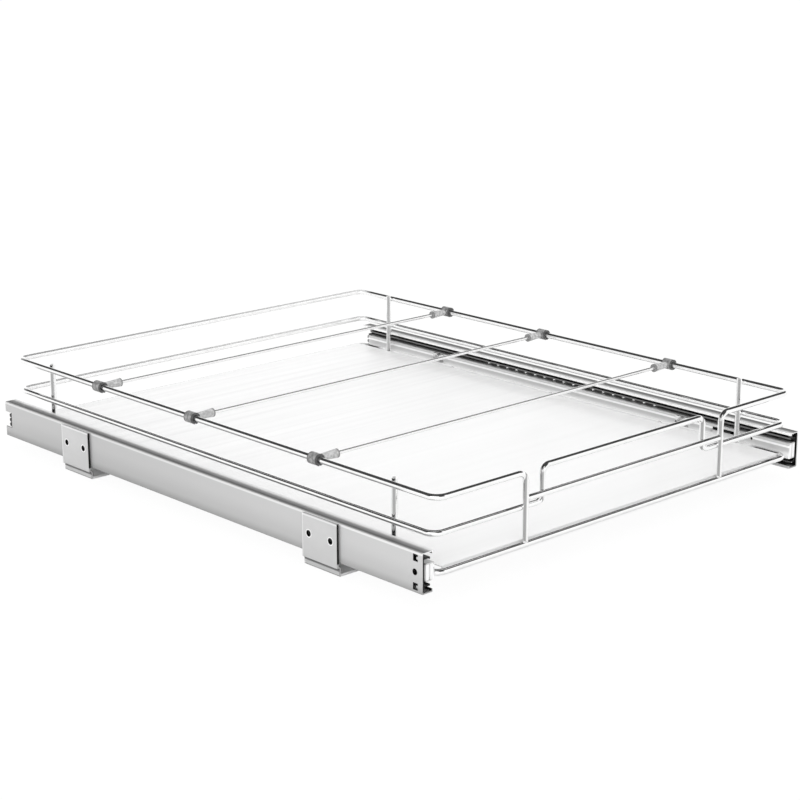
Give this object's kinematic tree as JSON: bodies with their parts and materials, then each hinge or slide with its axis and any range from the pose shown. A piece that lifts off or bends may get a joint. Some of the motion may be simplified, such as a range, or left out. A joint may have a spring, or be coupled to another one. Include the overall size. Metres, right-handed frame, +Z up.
{
  "type": "pull-out cabinet basket",
  "caption": "Chrome wire basket with a sheet floor, raised front guard and sliding divider rods, on full-extension ball-bearing slides with footed brackets.",
  "frame": {"origin": "on the cabinet floor under the middle of the basket: the bottom centre of the overall box", "axes": "+X across the cabinet, to the right as seen from the front; the basket pulls out towards -Y; +Z up"},
  "size_m": [0.454, 0.553, 0.0851],
  "materials": {
    "cabinet_member_zinc": "satin zinc",
    "middle_member_zinc": "satin zinc",
    "basket_member_zinc": "bright zinc",
    "bracket_zinc": "satin zinc",
    "cage_steel": "greased strip",
    "ball_steel": "polished",
    "bumper_rubber": "moulded",
    "wire_chrome": "polished chrome plate",
    "rod_chrome": "polished chrome plate",
    "panel_steel": "brushed",
    "tab_chrome": "polished chrome plate",
    "clip_plastic": "moulded",
    "lever_plastic": "moulded",
    "plug_plastic": "moulded",
    "fastener_steel": "zinc"
  },
  "bodies": {
    "cabinet_side": {"left_cabinet_member": "cabinet_member_zinc", "left_front_bracket": "bracket_zinc", "left_rear_bracket": "bracket_zinc", "left_rear_bumper": "bumper_rubber", "right_cabinet_member": "cabinet_member_zinc", "right_front_bracket": "bracket_zinc", "right_rear_bracket": "bracket_zinc", "right_rear_bumper": "bumper_rubber"},
    "basket": {"left_basket_member": "basket_member_zinc", "left_front_post": "wire_chrome", "left_rear_post": "wire_chrome", "left_fixing_tabs": "tab_chrome", "left_frame_screws": "fastener_steel", "left_lever_pin": "fastener_steel", "left_end_plug": "plug_plastic", "right_basket_member": "basket_member_zinc", "right_front_post": "wire_chrome", "right_rear_post": "wire_chrome", "right_fixing_tabs": "tab_chrome", "right_frame_screws": "fastener_steel", "right_lever_pin": "fastener_steel", "right_end_plug": "plug_plastic", "top_rail": "wire_chrome", "middle_rail": "wire_chrome", "bottom_frame": "wire_chrome", "front_cross_wire": "wire_chrome", "support_wires": "wire_chrome", "floor_panel": "panel_steel"},
    "left_middle": {"left_middle_member": "middle_member_zinc"},
    "left_outer_carriage": {"left_outer_cage": "cage_steel", "left_outer_balls": "ball_steel"},
    "left_inner_carriage": {"left_inner_cage": "cage_steel", "left_inner_balls": "ball_steel"},
    "left_lever": {"left_release_lever": "lever_plastic"},
    "right_middle": {"right_middle_member": "middle_member_zinc"},
    "right_outer_carriage": {"right_outer_cage": "cage_steel", "right_outer_balls": "ball_steel"},
    "right_inner_carriage": {"right_inner_cage": "cage_steel", "right_inner_balls": "ball_steel"},
    "right_lever": {"right_release_lever": "lever_plastic"},
    "front_divider": {"front_divider_rod": "rod_chrome", "front_divider_left_clip": "clip_plastic", "front_divider_right_clip": "clip_plastic"},
    "middle_divider": {"middle_divider_rod": "rod_chrome", "middle_divider_left_clip": "clip_plastic", "middle_divider_right_clip": "clip_plastic"},
    "rear_divider": {"rear_divider_rod": "rod_chrome", "rear_divider_left_clip": "clip_plastic", "rear_divider_right_clip": "clip_plastic"}
  },
  "joints": [
    {"name": "basket_slide", "type": "slide", "parent": "cabinet_side", "child": "basket", "axis": [0, -1, 0], "range_m": [0, 0.54]},
    {"name": "left_middle_slide", "type": "slide", "parent": "cabinet_side", "child": "left_middle", "axis": [0, -1, 0], "range_m": [0, 0.27]},
    {"name": "left_outer_carriage_slide", "type": "slide", "parent": "cabinet_side", "child": "left_outer_carriage", "axis": [0, -1, 0], "range_m": [0, 0.135]},
    {"name": "left_inner_carriage_slide", "type": "slide", "parent": "cabinet_side", "child": "left_inner_carriage", "axis": [0, -1, 0], "range_m": [0, 0.405]},
    {"name": "right_middle_slide", "type": "slide", "parent": "cabinet_side", "child": "right_middle", "axis": [0, -1, 0], "range_m": [0, 0.27]},
    {"name": "right_outer_carriage_slide", "type": "slide", "parent": "cabinet_side", "child": "right_outer_carriage", "axis": [0, -1, 0], "range_m": [0, 0.135]},
    {"name": "right_inner_carriage_slide", "type": "slide", "parent": "cabinet_side", "child": "right_inner_carriage", "axis": [0, -1, 0], "range_m": [0, 0.405]},
    {"name": "front_divider_slide", "type": "slide", "parent": "basket", "child": "front_divider", "axis": [0, 1, 0], "range_m": [-0.073, 0.07]},
    {"name": "middle_divider_slide", "type": "slide", "parent": "basket", "child": "middle_divider", "axis": [0, 1, 0], "range_m": [-0.073, 0.065]},
    {"name": "rear_divider_slide", "type": "slide", "parent": "basket", "child": "rear_divider", "axis": [0, 1, 0], "range_m": [-0.054, 0.071]},
    {"name": "left_lever_hinge", "type": "hinge", "parent": "basket", "child": "left_lever", "pos_m": [-0.21505, -0.191, 0.0278], "axis": [1, 0, 0], "range_deg": [0, 4], "stiffness_Nm_per_rad": 0.05, "springref_deg": -2.86},
    {"name": "right_lever_hinge", "type": "hinge", "parent": "basket", "child": "right_lever", "pos_m": [0.21505, -0.191, 0.0278], "axis": [1, 0, 0], "range_deg": [0, 4], "stiffness_Nm_per_rad": 0.05, "springref_deg": -2.86}
  ],
  "couplings": [
    {"joint": "left_middle_slide", "follows": "basket_slide", "ratio": 0.5},
    {"joint": "left_outer_carriage_slide", "follows": "basket_slide", "ratio": 0.25},
    {"joint": "left_inner_carriage_slide", "follows": "basket_slide", "ratio": 0.75},
    {"joint": "right_middle_slide", "follows": "basket_slide", "ratio": 0.5},
    {"joint": "right_outer_carriage_slide", "follows": "basket_slide", "ratio": 0.25},
    {"joint": "right_inner_carriage_slide", "follows": "basket_slide", "ratio": 0.75}
  ]
}
